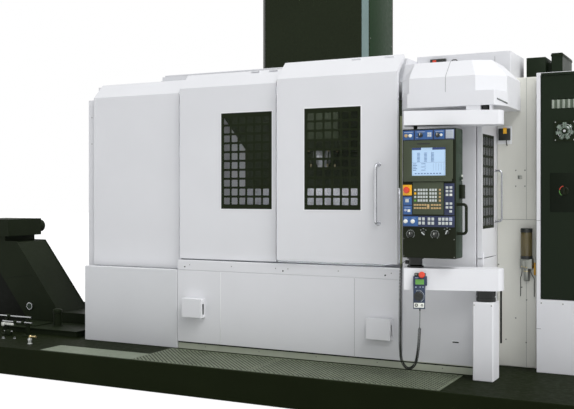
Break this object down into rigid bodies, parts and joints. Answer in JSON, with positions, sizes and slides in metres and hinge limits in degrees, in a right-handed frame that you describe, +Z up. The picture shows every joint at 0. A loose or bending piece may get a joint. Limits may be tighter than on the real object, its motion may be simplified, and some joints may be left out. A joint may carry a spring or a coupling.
{
  "type": "vertical machining center",
  "caption": "Vertical machining center: enclosure with telescoping doors, swing-arm pendant, column cover, cabinet, chip conveyor and platform.",
  "frame": {"origin": "on the floor under the front panels' face, at the middle of the enclosure's width", "axes": "+Z up, +X to the right of someone who faces the doors, +Y from the doors to the back"},
  "size_m": [7.38, 4.04, 4.3],
  "materials": {
    "white_paint": "semi-gloss powder coat",
    "beige_paint": "semi-gloss powder coat",
    "black_paint": "satin",
    "cabinet_paint": "satin",
    "dark_steel": "satin",
    "tread_steel": "worn, embossed",
    "stainless": "polished tube",
    "bright_steel": "ground",
    "cast_iron": "machined",
    "smoked_pane": "tinted, behind a dark grid",
    "rubber": "matt",
    "pendant_black": "satin",
    "key_grey": "membrane keys",
    "key_blue": "matt",
    "signal_yellow": "with a red mushroom"
  },
  "bodies": {
    "machine": {"back_wall": "white_paint", "bed": "cast_iron", "cabinet": "white_paint", "column": "dark_steel", "column_cover": "black_paint", "conveyor_body": "dark_steel", "conveyor_head": "dark_steel", "coolant_tank": "dark_steel", "door_rail": "white_paint", "door_track": "white_paint", "duct": "cabinet_paint", "fixed_left_panel": "white_paint", "hood": "white_paint", "hood_pivot": "dark_steel", "interlock_switch": "pendant_black", "kick_strip": "beige_paint", "left_corner_post": "white_paint", "left_cover_box": "white_paint", "left_wall": "white_paint", "lower_centre_panel": "white_paint", "lower_left_panel": "white_paint", "lubricator": "dark_steel", "magazine_cover": "white_paint", "pedestal": "white_paint", "pedestal_pivot": "dark_steel", "platform": "black_paint", "rear_housing": "beige_paint", "right_cover_box": "white_paint", "right_front_panel": "white_paint", "right_wall": "white_paint", "roof": "white_paint", "roof_hatch": "white_paint", "service_plate": "tread_steel", "side_frame": "white_paint", "spindle_head": "dark_steel", "spindle_nose": "bright_steel", "table": "cast_iron", "tread_plate": "tread_steel", "way_cover": "stainless"},
    "door_left": {"door_left": "white_paint", "window_left": "smoked_pane"},
    "door_right": {"door_right": "white_paint", "window_right": "smoked_pane", "door_handle": "stainless"},
    "side_door": {"side_door": "white_paint", "side_window": "smoked_pane", "side_door_handle": "stainless"},
    "cabinet_door": {"cabinet_door": "cabinet_paint", "cabinet_fan": "dark_steel", "cabinet_switch": "pendant_black"},
    "arm": {"lower_arm": "white_paint", "upper_arm": "white_paint", "swivel_base": "dark_steel", "handwheel_unit": "key_blue", "curly_cord": "rubber"},
    "pendant": {"pendant_housing": "pendant_black", "display_unit": "key_grey", "key_panel": "key_grey", "stop_button": "signal_yellow", "pendant_handle": "pendant_black"}
  },
  "joints": [
    {"name": "door_right_slide", "type": "slide", "parent": "machine", "child": "door_right", "axis": [-1, 0, 0], "range_m": [0, 2.16]},
    {"name": "door_left_slide", "type": "slide", "parent": "machine", "child": "door_left", "axis": [-1, 0, 0], "range_m": [0, 1.08]},
    {"name": "side_door_hinge", "type": "hinge", "parent": "machine", "child": "side_door", "pos_m": [2.146, 0.045, 1.84], "axis": [0, 0, -1], "range_deg": [0, 90]},
    {"name": "cabinet_door_hinge", "type": "hinge", "parent": "machine", "child": "cabinet_door", "pos_m": [2.955, 0.373, 1.88], "axis": [0, 0, 1], "range_deg": [0, 110]},
    {"name": "arm_swing", "type": "hinge", "parent": "machine", "child": "arm", "pos_m": [2.211, -0.11, 1.75], "axis": [0, 0, 1], "range_deg": [-10, 75]},
    {"name": "pendant_swivel", "type": "hinge", "parent": "arm", "child": "pendant", "pos_m": [1.6607, -0.2835, 1.8], "axis": [0, 0, 1], "range_deg": [-90, 20]}
  ],
  "couplings": [
    {"joint": "door_left_slide", "follows": "door_right_slide", "ratio": 0.5}
  ]
}
